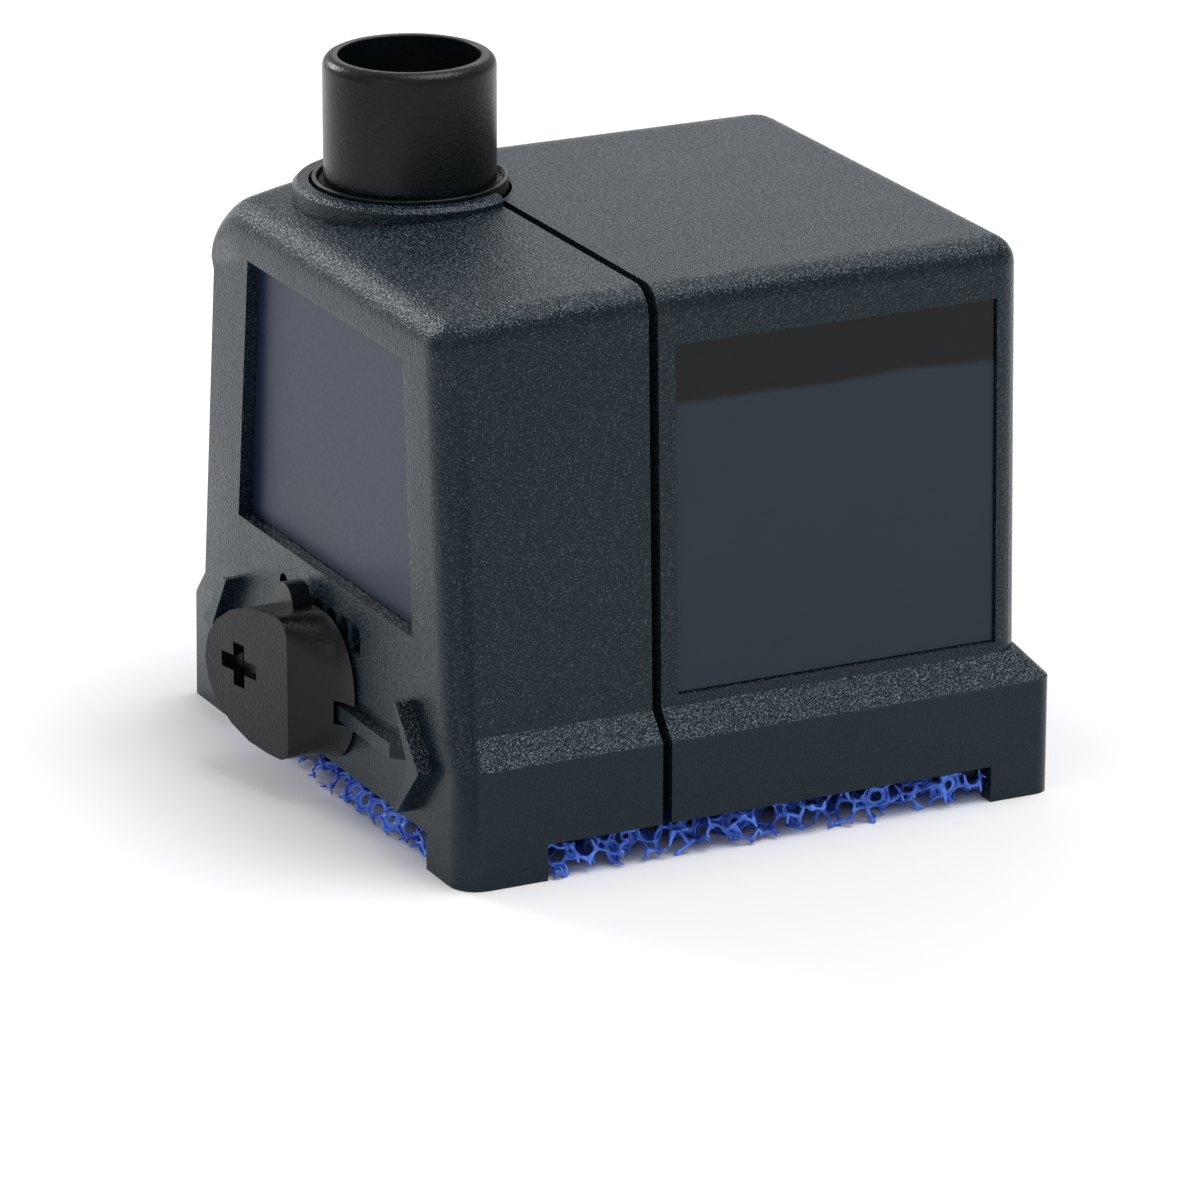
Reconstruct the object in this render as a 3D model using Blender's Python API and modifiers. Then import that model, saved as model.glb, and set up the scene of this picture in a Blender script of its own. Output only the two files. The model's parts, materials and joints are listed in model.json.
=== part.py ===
"""Submersible pump with a two-part casing, a motor, a sliding flow regulator and a foam base filter.

Frame: +Z up, origin on the floor under the middle of the whole pump, front face towards -Y.
"""
import math

import bmesh
import bpy
from mathutils import Matrix

MM = 0.001

# Casing
BASE_HALF_W = 35.6 * MM         # skirt, side to side
BASE_HALF_D = 36.0 * MM         # skirt, front to back
CASING_H = 63.0 * MM            # floor to casing top
SKIRT_H = 13.4 * MM             # floor to the foot of the sloping ledge
LEDGE_H = 3.0 * MM
LEDGE_IN = 2.6 * MM             # how far the walls stand in from the skirt
WALL_DRAFT = 1.3 * MM           # each side wall leans in by this at the top
WALL = 2.2 * MM
FRONT_WALL = 3.0 * MM
EDGE_R = 3.2 * MM
FRONT_LEFT_SHARE = 0.15         # the front's left upright edge has this share of the rounding
LEFT_EDGE_R = 7.5 * MM
SHOULDER_OUT = 1.6 * MM         # thickened upper left side of the front cover
SHOULDER_H = 11.0 * MM
FRONT_TAPER = 2.7 * MM          # front face's top corners stand further in
FRONT_DROP = 2.2 * MM           # casing top falls towards the front
FRONT_LEAN = 0.6 * MM
SEAM_FROM_FRONT = 24.45 * MM
SEAM_GAP = 1.1 * MM
LIP_T = 1.4 * MM
LIP_REACH = 3.2 * MM            # lip under the seam, into the rear cover
LIP_ROOT = 3.0 * MM
OPEN_FOOT = -1.0 * MM           # hollows run this far below the floor
LIP_CLEARANCE = 0.35 * MM
FOOT_GAP_H = 4.15 * MM          # openings between the feet
FRONT_FOOT_W = 8.9 * MM
FRONT_FOOT_D = 10.2 * MM
REAR_FOOT_D = 7.7 * MM

# Label seats
LABEL_T = 0.5 * MM
LABEL_CLEARANCE = 0.1 * MM
FRONT_LABEL_DEPTH = 1.9 * MM    # visible depth of the seat
FRONT_LABEL_TOP_HALF_W = 20.2 * MM
FRONT_LABEL_FOOT_HALF_W = 23.0 * MM
FRONT_LABEL_Z = (25.1 * MM, 55.4 * MM)
SIDE_LABEL_DEPTH = 0.5 * MM
SIDE_LABEL_SIZE = 39.0 * MM
SIDE_LABEL_FOOT_Z = 17.6 * MM
SIDE_LABEL_FROM_SEAM = 2.0 * MM

# Outlet
NOZZLE_X = -15.0 * MM
NOZZLE_R = 9.6 * MM
NOZZLE_BORE_R = NOZZLE_R - 1.7 * MM
NOZZLE_RISE = 15.3 * MM         # above the casing top
NOZZLE_RIM_R = 1.3 * MM
FLANGE_R = NOZZLE_R + 1.3 * MM
COLLAR_R = FLANGE_R + 2.1 * MM
NOZZLE_FROM_SEAM = 6.5 * MM
CASE_FROM_SEAM = 5.5 * MM       # motor case, unless a wide outlet pushes it back
CASE_FROM_OUTLET = 0.6 * MM
COLLAR_RISE = 1.1 * MM
COLLAR_FOOT = 4.0 * MM          # collar material below the casing top
COLLAR_CLEARANCE = 0.35 * MM
SPIGOT_R = 7.6 * MM
SPIGOT_LENGTH = 11.0 * MM
SPIGOT_BORE_R = 5.6 * MM
SOCKET_CLEARANCE = 0.5 * MM
SOCKET_WALL = 1.4 * MM
RING_WIRE_R = 0.65 * MM
RING_GROOVE = 1.0 * MM
RING_ABOVE_END = 3.0 * MM

# Flow regulator
REGULATOR_Z = 13.1 * MM
REGULATOR_HALF_H = 8.2 * MM
REGULATOR_X = (-12.8 * MM, 9.1 * MM)
REGULATOR_ROUND = 11.8 * MM     # how far the half-ellipse of the left end runs in
REGULATOR_PAD_END = 2.6 * MM    # flat pad ends here, the thumb slope starts
REGULATOR_PROUD = 5.4 * MM      # at the right end of the pad
PAD_RISE = 0.2                  # the pad stands further out towards its left end
PAD_CORNER_R = (2.2 * MM, 1.6 * MM)
NECK_CORNER_R = (7.5 * MM, 7.5 * MM)
SLOPE_STEPS = 12
REGULATOR_CLEARANCE = 0.3 * MM
FINGER_X = -4.1 * MM
FINGER_R = 2.4 * MM
FINGER_TOP_Z = 23.4 * MM
FINGER_PROUD = 2.7 * MM
CROSS_X = -6.4 * MM
CROSS_ARM = (3.3 * MM, 2.5 * MM)
CROSS_W = (2.1 * MM, 1.8 * MM)
CROSS_RAISE = 0.6 * MM          # the recess sits above the pad's middle
CROSS_DEPTH = 1.3 * MM
STEM_W = 5.0 * MM
STEM_H = 3.2 * MM
STEM_X = -6.5 * MM
STEM_SLOT_END = 0.4 * MM
REGULATOR_TRAVEL = (-3.5 * MM, 9.5 * MM)
GATE_T = 1.0 * MM
GATE_HALF_W = 6.0 * MM
NOTCH_FIRST_X = -10.6 * MM
NOTCH_PITCH = 3.18 * MM
NOTCH_COUNT = 7
NOTCH_R = 1.15 * MM
NOTCH_H = 3.4 * MM
NOTCH_DEPTH = 1.6 * MM
NOTCH_TOP_Z = 22.0 * MM
RIB_END_X = 21.0 * MM
RIB_FROM_SLOT = 0.5 * MM
RIB_END_SLOPE = 1.2 * MM
RIB_ROOT = 1.5 * MM
RIB_Z = 11.4 * MM
RIB_H = 1.7 * MM
RIB_PROUD = 1.1 * MM
CHEVRON_OUT_X = (22.9 * MM, 28.6 * MM)
CHEVRON_IN_X = (22.1 * MM, 26.0 * MM)
CHEVRON_Z = (5.4 * MM, 18.0 * MM)
CHEVRON_PROUD = 1.8 * MM
SKIRT_TAB_X = (-9.0 * MM, -3.6 * MM)
SKIRT_TAB_Z = 2.2 * MM          # tab that hangs in the front opening, under the regulator

# Base
FOAM_H = 9.0 * MM
FOAM_FLOOR_GAP = 0.2 * MM
FOAM_CLEARANCE = 0.3 * MM
FOAM_FACE_IN = 1.0 * MM
GRILLE_T = 1.5 * MM
GRILLE_BARS = 7
GRILLE_SLOT_W = 5.0 * MM
GRILLE_RIM = 4.0 * MM
GRILLE_BAR = 4.0 * MM
CUSHION_H = 2.0 * MM
CUSHION_W = 6.0 * MM
CASE_CLEARANCE = 4.0 * MM
CASE_WALL = 1.5 * MM

# Pump and motor, at the size that fits a casing of the sizes above
PUMP_W = 30.8 * MM              # casing's inner half width at that size
MOTOR_CASE_H = 46.3 * MM
AXIS_ABOVE_CASE = 17.0 * MM
CHAMBER_R = 18.8 * MM
CHAMBER_X = -3.0 * MM
CHAMBER_FRONT = 9.7 * MM        # ahead of the outlet's axis
CHAMBER_BACK = 6.6 * MM
CHAMBER_WALL = 2.0 * MM
EYE_R = 6.5 * MM
EYE_HUB_R = 2.9 * MM
EYE_ARM_W = 1.6 * MM
IMPELLER_R = 12.0 * MM
IMPELLER_HUB_R = 3.0 * MM
IMPELLER_BLADES = 6
BLADE_T = 1.2 * MM
BLADE_H = 8.0 * MM
BLADE_SWEEP = math.radians(38.0)
SHAFT_R = 1.25 * MM
SHAFT_RUN = 0.06 * MM           # radial running clearance
MAGNET_R = 7.4 * MM
MAGNET_L = 24.0 * MM
CAN_GAP = 0.8 * MM
CAN_WALL = 1.0 * MM
POLE_GAP = 0.4 * MM
LEG_X = (10.5 * MM, 17.5 * MM)
CORE_T = 14.0 * MM
YOKE_H = 6.0 * MM
POLE_SLOT_W = 2.0 * MM
BOBBIN_WALL = 0.8 * MM
COIL_T = 3.4 * MM
COIL_H = 8.6 * MM
FIT_GAP = 0.3 * MM
REAR_BUSH_T = 2.4 * MM
CAN_FLANGE_W = 3.0 * MM
CORE_WINDOW_Z = 11.0 * MM       # foot of the coil window above the axis
DUCT_BORE_R = 4.8 * MM
SEAL_T = 0.7 * MM
COVER_T = 2.2 * MM
BUSH_WALL = 0.8 * MM
IMPELLER_SLEEVE_R = 4.6 * MM
LUG_R = 2.6 * MM
LUG_DEPTH = 6.0 * MM
GLAND_X = 18.0 * MM
GLAND_Z = 24.0 * MM
GLAND_R = 3.6 * MM
SCREW_R = 1.1 * MM
SCREW_HEAD_R = 1.9 * MM
SCREW_HEAD_H = 0.8 * MM
SCREW_TURNS = [math.radians(turn) for turn in (60.0, 135.0, 225.0)]

# Sizes that follow
PAD_REACH = REGULATOR_PROUD + PAD_RISE * (REGULATOR_PAD_END - REGULATOR_X[0])
FRONT_Y = PAD_REACH / 2 - BASE_HALF_D           # the regulator stands in front of the base
BACK_Y = FRONT_Y + 2 * BASE_HALF_D
MIDDLE_Y = (FRONT_Y + BACK_Y) / 2
SEAM_Y = FRONT_Y + SEAM_FROM_FRONT
FRONT_END = SEAM_Y - SEAM_GAP / 2
REAR_START = SEAM_Y + SEAM_GAP / 2
WALL_HALF_W = BASE_HALF_W - LEDGE_IN
WALL_FOOT_Z = SKIRT_H + LEDGE_H
REAR_WALL_Y = BACK_Y - LEDGE_IN
INNER_HALF_W = WALL_HALF_W - WALL
INNER_TOP = CASING_H - WALL
FRONT_INNER_Y = FRONT_Y + FRONT_WALL
NOZZLE_Y = SEAM_Y - NOZZLE_FROM_SEAM
GRILLE_TOP = FOAM_H + FOAM_CLEARANCE + GRILLE_T
CASE_FOOT = GRILLE_TOP + CUSHION_H
CASE_TOP = INNER_TOP - 1.5 * MM
SCALE = min(INNER_HALF_W / PUMP_W, BASE_HALF_D / (36.0 * MM), (CASE_TOP - CASE_FOOT) / MOTOR_CASE_H)
AXIS_Z = CASE_FOOT + AXIS_ABOVE_CASE * SCALE
OUTLET_X = NOZZLE_X * SCALE
CHAMBER_Y = (NOZZLE_Y - CHAMBER_FRONT * SCALE, NOZZLE_Y + CHAMBER_BACK * SCALE)
SHOULDER_Z = CASING_H - SHOULDER_H
SKIRT_RUN = BASE_HALF_D / 3
FAR = 1.2 * BASE_HALF_D         # past the casing on any side

PLASTIC = (0.012, 0.014, 0.016)
SIDES = 48
CURVE_STEPS = 10
BODY_SECTIONS = 14

for old in list(bpy.data.objects):
    bpy.data.objects.remove(old, do_unlink=True)

parts = bpy.data.collections.new("submersible_pump")
cutters = bpy.data.collections.new("cutters")
for group in (parts, cutters):
    bpy.context.scene.collection.children.link(group)


def material(name, color, roughness, metallic=0.0):
    """A plain Principled material."""
    made = bpy.data.materials.new(name)
    made.use_nodes = True
    shader = made.node_tree.nodes["Principled BSDF"]
    shader.inputs["Base Color"].default_value = (*color, 1.0)
    shader.inputs["Roughness"].default_value = roughness
    shader.inputs["Metallic"].default_value = metallic
    return made


def add(name, shape, made=None, at=(0.0, 0.0, 0.0), turn=(0.0, 0.0, 0.0), smooth=0.0):
    """Link a shape: with a material it is a part, without one a cutter."""
    mesh = bpy.data.meshes.new(name)
    bmesh.ops.recalc_face_normals(shape, faces=shape.faces)
    shape.to_mesh(mesh)
    shape.free()
    thing = bpy.data.objects.new(name, mesh)
    thing.location = at
    thing.rotation_euler = turn
    if made is None:
        cutters.objects.link(thing)
        thing.hide_render = True
        thing.display_type = "WIRE"
    else:
        parts.objects.link(thing)
        mesh.materials.append(made)
    if smooth:
        mesh.shade_smooth()
        mesh.set_sharp_from_angle(angle=math.radians(smooth))
    return thing


def loft(name, rings, made=None, smooth=0.0):
    """A solid skinned over unlike rings of equal length, its end rings capped."""
    shape = bmesh.new()
    rows = [[shape.verts.new(point) for point in ring] for ring in rings]
    count = len(rings[0])
    for low, high in zip(rows, rows[1:]):
        for col in range(count):
            near = (col + 1) % count
            shape.faces.new((low[col], low[near], high[near], high[col]))
    shape.faces.new(rows[0])
    shape.faces.new(rows[-1])
    bmesh.ops.connect_verts_nonplanar(shape, angle_limit=math.radians(0.01), faces=shape.faces)
    return add(name, shape, made, smooth=smooth)


def prism(name, outline, axis, start, end, made=None):
    """A flat outline extruded along Y or Z; along Y its pairs are (z, x)."""
    shape = bmesh.new()
    place = {"Y": lambda a, b: (b, start, a), "Z": lambda a, b: (a, b, start)}[axis]
    face = shape.faces.new([shape.verts.new(place(a, b)) for a, b in outline])
    grown = bmesh.ops.extrude_face_region(shape, geom=[face])["geom"]
    run = {"Y": (0.0, end - start, 0.0), "Z": (0.0, 0.0, end - start)}[axis]
    bmesh.ops.translate(shape, vec=run, verts=[item for item in grown if isinstance(item, bmesh.types.BMVert)])
    return add(name, shape, made)


def box(name, x, y, z, made=None, soft=0.0, turn=(0.0, 0.0, 0.0)):
    """A box between pairs of limits, its edges rounded by soft."""
    shape = bmesh.new()
    bmesh.ops.create_cube(shape, size=1.0)
    bmesh.ops.scale(shape, vec=[high - low for low, high in (x, y, z)], verts=shape.verts)
    thing = add(name, shape, made, [(low + high) / 2 for low, high in (x, y, z)], turn)
    if soft:
        bevel = thing.modifiers.new("rounded_edges", "BEVEL")
        bevel.width = soft
        bevel.segments = 2
    return thing


LAY = {"Y": (-math.pi / 2, 0.0, 0.0), "Z": (0.0, 0.0, 0.0)}


def along(centre, axis, distance):
    """A point some way from a centre along Y or Z."""
    return [value + (distance if name == axis else 0.0) for name, value in zip("XYZ", centre)]


def cylinder(name, radius, centre, axis, start, end, made=None, sides=SIDES):
    """A plain cylinder between two heights over its centre."""
    shape = bmesh.new()
    bmesh.ops.create_cone(shape, cap_ends=True, segments=sides, radius1=radius, radius2=radius, depth=end - start)
    return add(name, shape, made, along(centre, axis, (start + end) / 2), LAY[axis], 40.0)


def turned(name, profile, centre, axis, made=None, ring=False, sides=SIDES):
    """A profile of (radius, height) screwed about an axis; one that isn't a ring is closed at the axis."""
    points = list(profile) if ring else [(0.0, profile[0][1]), *profile, (0.0, profile[-1][1])]
    area = sum(a[0] * b[1] - b[0] * a[1] for a, b in zip(points, points[1:] + points[:1]))
    if area > 0.0:
        points.reverse()
    middle = sum(height for _, height in points) / len(points)
    shape = bmesh.new()
    line = [shape.verts.new((radius, 0.0, height - middle)) for radius, height in points]
    for a, b in zip(line, line[1:] + (line[:1] if ring else [])):
        shape.edges.new((a, b))
    thing = add(name, shape, made, along(centre, axis, middle), LAY[axis])
    screw = thing.modifiers.new("turned", "SCREW")
    screw.axis = "Z"
    screw.steps = sides
    screw.render_steps = sides
    screw.use_merge_vertices = True
    screw.merge_threshold = 0.00001
    screw.use_smooth_shade = True
    return thing


def tube(name, inner, outer, centre, axis, start, end, made=None):
    """A plain tube between two heights over its centre."""
    return turned(name, [(outer, start), (outer, end), (inner, end), (inner, start)], centre, axis, made, True)


def group(name, at, members):
    """Hang moving pieces on an empty that stands on their joint's axis."""
    handle = bpy.data.objects.new(name, None)
    handle.location = at
    parts.objects.link(handle)
    for member in members:
        piece = bpy.data.objects[member]
        piece.parent = handle
        piece.matrix_parent_inverse = Matrix.Translation(at).inverted()


def combine(thing, tool, operation="DIFFERENCE"):
    """Cut a tool out of a part, or join it on."""
    step = thing.modifiers.new(operation.lower() + "_" + tool.name, "BOOLEAN")
    step.operation = operation
    step.solver = "EXACT"
    step.object = tool


def arc(centre, radius, start, end, steps=CURVE_STEPS):
    """Points round part of a circle, angles in degrees."""
    turns = [math.radians(start + (end - start) * k / steps) for k in range(steps + 1)]
    return [(centre[0] + radius * math.cos(t), centre[1] + radius * math.sin(t)) for t in turns]


def section(y, inset, drop, taper, shoulder, foot, left=None):
    """One cross-section of the casing, from the right foot over the top to the left foot."""
    left = inset if left is None else left
    top = CASING_H - drop - inset
    low = WALL_HALF_W - inset
    high = low - WALL_DRAFT - taper
    base = BASE_HALF_W - inset
    left_r = LEFT_EDGE_R - inset
    right_r = max(EDGE_R - inset, 1.0 * MM)
    shift = inset - left
    out = high + shoulder + shift
    ledge = (SKIRT_H - inset * 0.4, WALL_FOOT_Z - inset * 0.4)
    outline = [(base, foot), (base, ledge[0]), (low, ledge[1])]
    outline += arc((high - right_r, top - right_r), right_r, 0, 90)
    squash = (left_r + shift) / left_r
    corner = arc((0.0, top - left_r), left_r, 90, 180)
    outline += [(left_r + shift - out + x * squash, z) for x, z in corner]
    outline += [(-out, min(SHOULDER_Z + 2.5 * MM, top - left_r - 0.1 * MM))]
    waist = low + (high - low) * (SHOULDER_Z - WALL_FOOT_Z) / (CASING_H - WALL_FOOT_Z)
    outline += [(-waist - shift - 0.05 * MM, SHOULDER_Z), (-low - shift, ledge[1]), (-base - shift, ledge[0]),
                (-base - shift, foot)]
    lean = FRONT_LEAN * max(0.0, (FRONT_END - y) / (FRONT_END - FRONT_Y)) / CASING_H
    return [(x, y + lean * z, z) for x, z in outline]


def front_section(y, inset, foot=0.0, left=None):
    """The front cover's cross-section at one depth: it falls and narrows towards the front."""
    ahead = max(0.0, (FRONT_END - y) / (FRONT_END - FRONT_Y))
    return section(y, inset, FRONT_DROP * ahead ** 2, FRONT_TAPER * ahead ** 1.5, SHOULDER_OUT, foot, left)


def spread(start, end, count):
    """Evenly spaced values, both ends included."""
    return [start + (end - start) * k / (count - 1) for k in range(count)]


def rounding(radius, steps=6):
    """Pairs of depth behind a face and inset that round its edge, from the face inwards."""
    turns = [math.radians(90.0 * k / steps) for k in range(steps)]
    return [(radius * (1 - math.cos(t)), radius * (1 - math.sin(t))) for t in turns]


# Materials
black = material("black_abs", PLASTIC, 0.45)
black_rear = material("black_abs_rear", PLASTIC, 0.45)
black_nozzle = material("black_abs_nozzle", PLASTIC, 0.35)
black_slider = material("black_abs_slider", PLASTIC, 0.35)
label_panel = material("label_panel", (0.06, 0.075, 0.10), 0.3)
foam_blue = material("foam_blue", (0.03, 0.07, 0.45), 0.5)
grey_plastic = material("grey_nylon", (0.18, 0.18, 0.18), 0.5)
impeller_white = material("impeller_pom", (0.7, 0.7, 0.68), 0.35)
magnet_grey = material("ferrite_magnet", (0.06, 0.06, 0.065), 0.5)
shaft_ceramic = material("shaft_ceramic", (0.85, 0.84, 0.8), 0.2)
rubber_black = material("rubber_black", (0.02, 0.02, 0.02), 0.8)
steel = material("core_steel", (0.45, 0.46, 0.47), 0.35, 1.0)
copper = material("winding_copper", (0.55, 0.22, 0.08), 0.35, 1.0)
screw_steel = material("screw_steel", (0.6, 0.6, 0.6), 0.25, 1.0)

# Front cover: a rounded box closed at the front, open at the foot and at the seam
rings = [front_section(FRONT_Y + depth, inset, 0.0, inset * FRONT_LEFT_SHARE)
         for depth, inset in rounding(EDGE_R)]
rings += [front_section(y, 0.0) for y in spread(FRONT_Y + EDGE_R, FRONT_END, BODY_SECTIONS)]
front_cover = loft("front_cover", rings, black, 35.0)
lip_z = FOOT_GAP_H + 0.2 * MM


def plain_rings(inset, start, end, foot):
    """Two level rings, one at each end of a stretch of the casing."""
    return [section(y, inset, 0.0, 0.0, 0.0, foot) for y in (start, end)]


lip_inset = WALL + LIP_CLEARANCE
lip = plain_rings(lip_inset, FRONT_END - LIP_ROOT, REAR_START + LIP_REACH, lip_z)
combine(front_cover, loft("seam_lip", lip), "UNION")
lip_bore = plain_rings(lip_inset + LIP_T, FRONT_END - LIP_ROOT - 1.0 * MM, REAR_START + 2 * LIP_REACH, OPEN_FOOT)
combine(front_cover, loft("seam_lip_bore", lip_bore))
hollow_y = spread(FRONT_INNER_Y, FRONT_END - LIP_ROOT, BODY_SECTIONS)
combine(front_cover, loft("front_hollow", [front_section(y, WALL, OPEN_FOOT) for y in hollow_y]))

# Rear cover: level top, closed at the back, with its own skirt all round
rings = [section(y, 0.0, 0.0, 0.0, 0.0, 0.0) for y in (REAR_START, REAR_WALL_Y - EDGE_R)]
rings += [section(REAR_WALL_Y - depth, inset, 0.0, 0.0, 0.0, 0.0) for depth, inset in reversed(rounding(EDGE_R))]
rear_cover = loft("rear_cover", rings, black_rear, 35.0)


def skirt_ring(z, grow, corner=2.0 * MM):
    """Plan outline of the rear skirt, its back corners rounded."""
    half_w = WALL_HALF_W + grow
    back = REAR_WALL_Y + grow
    outline = [(-half_w, back - SKIRT_RUN), (half_w, back - SKIRT_RUN)]
    outline += arc((half_w - corner, back - corner), corner, 0, 90)
    outline += arc((corner - half_w, back - corner), corner, 90, 180)
    return [(x, y, z) for x, y in outline]


skirt = loft("rear_skirt", [skirt_ring(0.0, LEDGE_IN), skirt_ring(SKIRT_H, LEDGE_IN), skirt_ring(WALL_FOOT_Z, 0.0)])
combine(rear_cover, skirt, "UNION")
rear_bore = plain_rings(WALL, REAR_START - 1.0 * MM, REAR_WALL_Y - WALL, OPEN_FOOT)
combine(rear_cover, loft("rear_hollow", rear_bore))

# Openings between the feet, on all four sides
foot_x = BASE_HALF_W - FRONT_FOOT_W
gap_z = (-1.0 * MM, FOOT_GAP_H)
side_gap = box("side_foot_gap", (-FAR, FAR), (FRONT_Y + FRONT_FOOT_D, BACK_Y - REAR_FOOT_D), gap_z)
front_gap = box("front_foot_gap", (-foot_x, foot_x), (-FAR, FAR), gap_z)
for cover in (front_cover, rear_cover):
    combine(cover, side_gap)
    combine(cover, front_gap)
tab_top = FOOT_GAP_H + 1.0 * MM
tab = [(tab_top, SKIRT_TAB_X[0]), (SKIRT_TAB_Z, SKIRT_TAB_X[0]), (SKIRT_TAB_Z, SKIRT_TAB_X[1]),
       (tab_top, SKIRT_TAB_X[1] + 1.5 * (tab_top - SKIRT_TAB_Z))]
combine(front_cover, prism("skirt_tab", tab, "Y", FRONT_Y + 0.1 * MM, FRONT_Y + 0.8 * FOAM_FACE_IN), "UNION")

# Collar round the outlet; the rear cover is notched to clear it
outlet = (OUTLET_X, NOZZLE_Y, 0.0)
collar_top = CASING_H + COLLAR_RISE
collar_bore = FLANGE_R + COLLAR_CLEARANCE
collar_foot = CASING_H - COLLAR_FOOT
profile = [(COLLAR_R, collar_foot), (COLLAR_R, collar_top - 0.5 * MM), (COLLAR_R - 0.5 * MM, collar_top)]
collar = turned("collar", profile, outlet, "Z")
behind = box("behind_collar", (-FAR, FAR), (FRONT_END - 0.1 * MM, FAR), (0.5 * CASING_H, 1.5 * CASING_H))
combine(collar, behind)
combine(front_cover, collar, "UNION")
combine(front_cover, cylinder("collar_opening", collar_bore, outlet, "Z", 0.8 * CASING_H, 1.5 * CASING_H))
notch = cylinder("rear_notch", FLANGE_R + COLLAR_CLEARANCE, outlet, "Z", 0.8 * CASING_H, 1.5 * CASING_H)
combine(rear_cover, notch)

# Front label seat and its blank panel
seat_back = FRONT_Y + FRONT_LABEL_DEPTH + LABEL_T + LABEL_CLEARANCE


def trapezium(grow):
    """Front label outline as (z, x) pairs."""
    low = FRONT_LABEL_FOOT_HALF_W + grow
    high = FRONT_LABEL_TOP_HALF_W + grow
    foot = FRONT_LABEL_Z[0] - grow
    head = FRONT_LABEL_Z[1] + grow
    return [(foot, -low), (head, -high), (head, high), (foot, low)]


combine(front_cover, prism("front_label_seat", trapezium(0.0), "Y", FRONT_Y - WALL, seat_back))
label_front = FRONT_Y + FRONT_LABEL_DEPTH
prism("front_label", trapezium(-LABEL_CLEARANCE), "Y", label_front, label_front + LABEL_T, label_panel)


# Side label seat and its blank panel, both leaning with the wall
def leaning_plate(name, depth, thickness, shrink, made=None):
    """A square plate sunk into the right wall, parallel to it."""
    lean = math.atan(WALL_DRAFT / (CASING_H - WALL_FOOT_Z))
    z = (SIDE_LABEL_FOOT_Z + shrink, SIDE_LABEL_FOOT_Z + SIDE_LABEL_SIZE - shrink)
    start = REAR_START + SIDE_LABEL_FROM_SEAM + shrink
    face = WALL_HALF_W - math.tan(lean) * ((z[0] + z[1]) / 2 - WALL_FOOT_Z) - depth
    y = (start, start + SIDE_LABEL_SIZE - 2 * shrink)
    return box(name, (face - thickness, face), y, z, made, turn=(0.0, -lean, 0.0))


side_seat = SIDE_LABEL_DEPTH + LABEL_T + LABEL_CLEARANCE
combine(rear_cover, leaning_plate("side_label_seat", -WALL, WALL + side_seat, 0.0))
leaning_plate("side_label", SIDE_LABEL_DEPTH, LABEL_T, LABEL_CLEARANCE, label_panel)

# Regulator details on the front wall
slot_x = (STEM_X - STEM_W / 2 + REGULATOR_TRAVEL[0] - STEM_SLOT_END,
          STEM_X + STEM_W / 2 + REGULATOR_TRAVEL[1] + STEM_SLOT_END)
slot_z = (REGULATOR_Z - STEM_H / 2 - 0.3 * MM, REGULATOR_Z + STEM_H / 2 + 0.3 * MM)
combine(front_cover, box("stem_slot", slot_x, (FRONT_Y - WALL, FRONT_INNER_Y + WALL), slot_z))
for k in range(NOTCH_COUNT):
    x = NOTCH_FIRST_X + NOTCH_PITCH * k
    outline = arc((NOTCH_TOP_Z - NOTCH_R, x), NOTCH_R, -90, 90, 6)
    outline = [(NOTCH_TOP_Z - NOTCH_H, x - NOTCH_R)] + outline + [(NOTCH_TOP_Z - NOTCH_H, x + NOTCH_R)]
    combine(front_cover, prism("detent_notch_" + str(k + 1), outline, "Y", FRONT_Y - WALL, FRONT_Y + NOTCH_DEPTH))
rib_z = (RIB_Z - RIB_H / 2, RIB_Z + RIB_H / 2)
rib_x = (slot_x[1] + RIB_FROM_SLOT, RIB_END_X)
rib = [(rib_x[0], FRONT_Y + RIB_ROOT), (rib_x[0], FRONT_Y - RIB_PROUD), (rib_x[1] - RIB_END_SLOPE, FRONT_Y - RIB_PROUD),
       (rib_x[1], FRONT_Y + 0.1 * MM), (rib_x[1], FRONT_Y + RIB_ROOT)]
combine(front_cover, prism("guide_rib", rib, "Z", *rib_z), "UNION")
chevron_mid = (CHEVRON_Z[0] + CHEVRON_Z[1]) / 2
for side, label in ((1, "right"), (-1, "left")):
    outline = [(CHEVRON_Z[0], CHEVRON_IN_X[0]), (chevron_mid, CHEVRON_IN_X[1]), (CHEVRON_Z[1], CHEVRON_IN_X[0]),
               (CHEVRON_Z[1], CHEVRON_OUT_X[0]), (chevron_mid, CHEVRON_OUT_X[1]), (CHEVRON_Z[0], CHEVRON_OUT_X[0])]
    outline = [(z, side * x) for z, x in outline]
    name = "chevron_" + label
    combine(front_cover, prism(name, outline, "Y", FRONT_Y - CHEVRON_PROUD, FRONT_Y + 1.5 * MM), "UNION")

# Regulator slider: pad, thumb slope, detent finger and the stem through the wall
back_y = FRONT_Y - REGULATOR_CLEARANCE
pad_z = (REGULATOR_Z - REGULATOR_HALF_H, REGULATOR_Z + REGULATOR_HALF_H)


def pad_front(x):
    """How far forward the pad's face stands at x."""
    return FRONT_Y - REGULATOR_PROUD - PAD_RISE * (REGULATOR_PAD_END - x)


def between(low, high, part):
    """The value part of the way from low to high."""
    return low + (high - low) * part


def slider_ring(part):
    """Outline of the slider, part of the way from its neck at the wall to its pad."""
    right = between(REGULATOR_X[1], REGULATOR_PAD_END, part ** 0.55)
    top_r, foot_r = [between(neck, pad, part ** 0.8) for neck, pad in zip(NECK_CORNER_R, PAD_CORNER_R)]
    outline = arc((pad_z[0] + foot_r, right - foot_r), foot_r, 180, 90)
    outline += arc((pad_z[1] - top_r, right - top_r), top_r, 90, 0)
    stretch = REGULATOR_ROUND / REGULATOR_HALF_H
    tip = arc((REGULATOR_Z, 0.0), REGULATOR_HALF_H, 0, -180)
    outline += [(z, REGULATOR_X[0] + REGULATOR_ROUND + x * stretch) for z, x in tip]
    return [(x, between(back_y, pad_front(min(x, REGULATOR_PAD_END)), part), z) for z, x in outline]


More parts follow.
